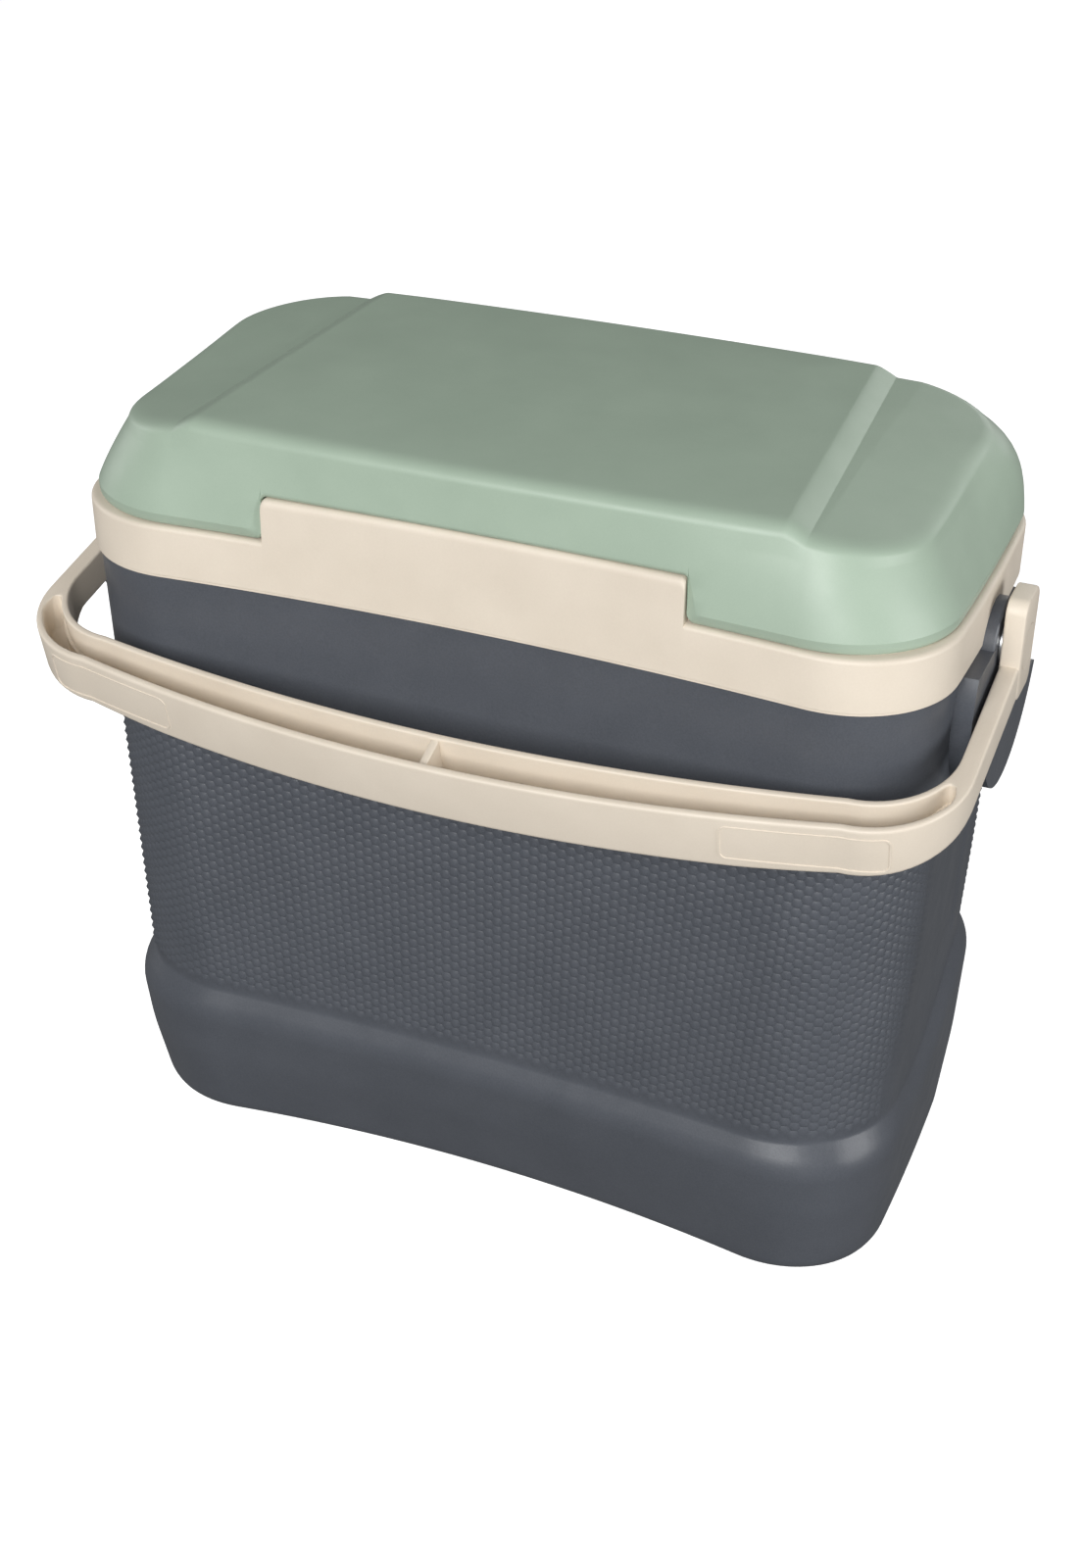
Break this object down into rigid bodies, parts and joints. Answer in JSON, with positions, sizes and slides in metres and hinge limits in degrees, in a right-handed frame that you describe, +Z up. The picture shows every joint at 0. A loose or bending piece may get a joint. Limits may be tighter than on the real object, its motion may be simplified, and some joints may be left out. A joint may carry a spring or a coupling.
{
  "type": "hard-sided ice chest cooler",
  "caption": "Waisted personal ice chest with insulated grey body, sand rim and swing bail handle, and a hinged sage green lid.",
  "frame": {"origin": "centre of the underside, on the floor", "axes": "+X to the right, +Y to the back where the lid hinges are, +Z up; the bail handle hangs at the front"},
  "size_m": [0.406, 0.2371, 0.3567],
  "materials": {
    "slate_plastic": "moulded, fine grain, satin",
    "sand_plastic": "moulded, fine grain, satin",
    "sage_plastic": "moulded, fine leather grain, satin",
    "white_plastic": "smooth, semi-gloss",
    "hinge_plastic": "moulded, satin",
    "foam": "cut polyurethane foam",
    "steel": "plain zinc-plated"
  },
  "bodies": {
    "chest": {"outer_shell": "slate_plastic", "body_foam": "foam", "inner_liner": "white_plastic", "rim_bezel": "sand_plastic", "pivot_boss_left": "slate_plastic", "pivot_boss_right": "slate_plastic", "anchor_plate_left": "steel", "anchor_plate_right": "steel", "pivot_screw_left": "steel", "pivot_screw_right": "steel", "pivot_washer_left": "steel", "pivot_washer_right": "steel", "hinge_body_leaf_left": "hinge_plastic", "hinge_body_leaf_right": "hinge_plastic", "hinge_pin_left": "steel", "hinge_pin_right": "steel", "hinge_body_screws": "steel"},
    "lid": {"lid_shell": "sage_plastic", "lid_foam": "foam", "lid_liner": "white_plastic", "hinge_lid_leaf_left": "hinge_plastic", "hinge_lid_leaf_right": "hinge_plastic", "hinge_lid_screws": "steel"},
    "handle": {"bail_handle": "sand_plastic", "pivot_cap_left": "sand_plastic", "pivot_cap_right": "sand_plastic"}
  },
  "joints": [
    {"name": "lid_hinge", "type": "hinge", "parent": "chest", "child": "lid", "pos_m": [0, 0.098, 0.309], "axis": [-1, 0, 0], "range_deg": [0, 100]},
    {"name": "handle_swing", "type": "hinge", "parent": "chest", "child": "handle", "pos_m": [0, 0, 0.28], "axis": [-1, 0, 0], "range_deg": [0, 204]}
  ]
}
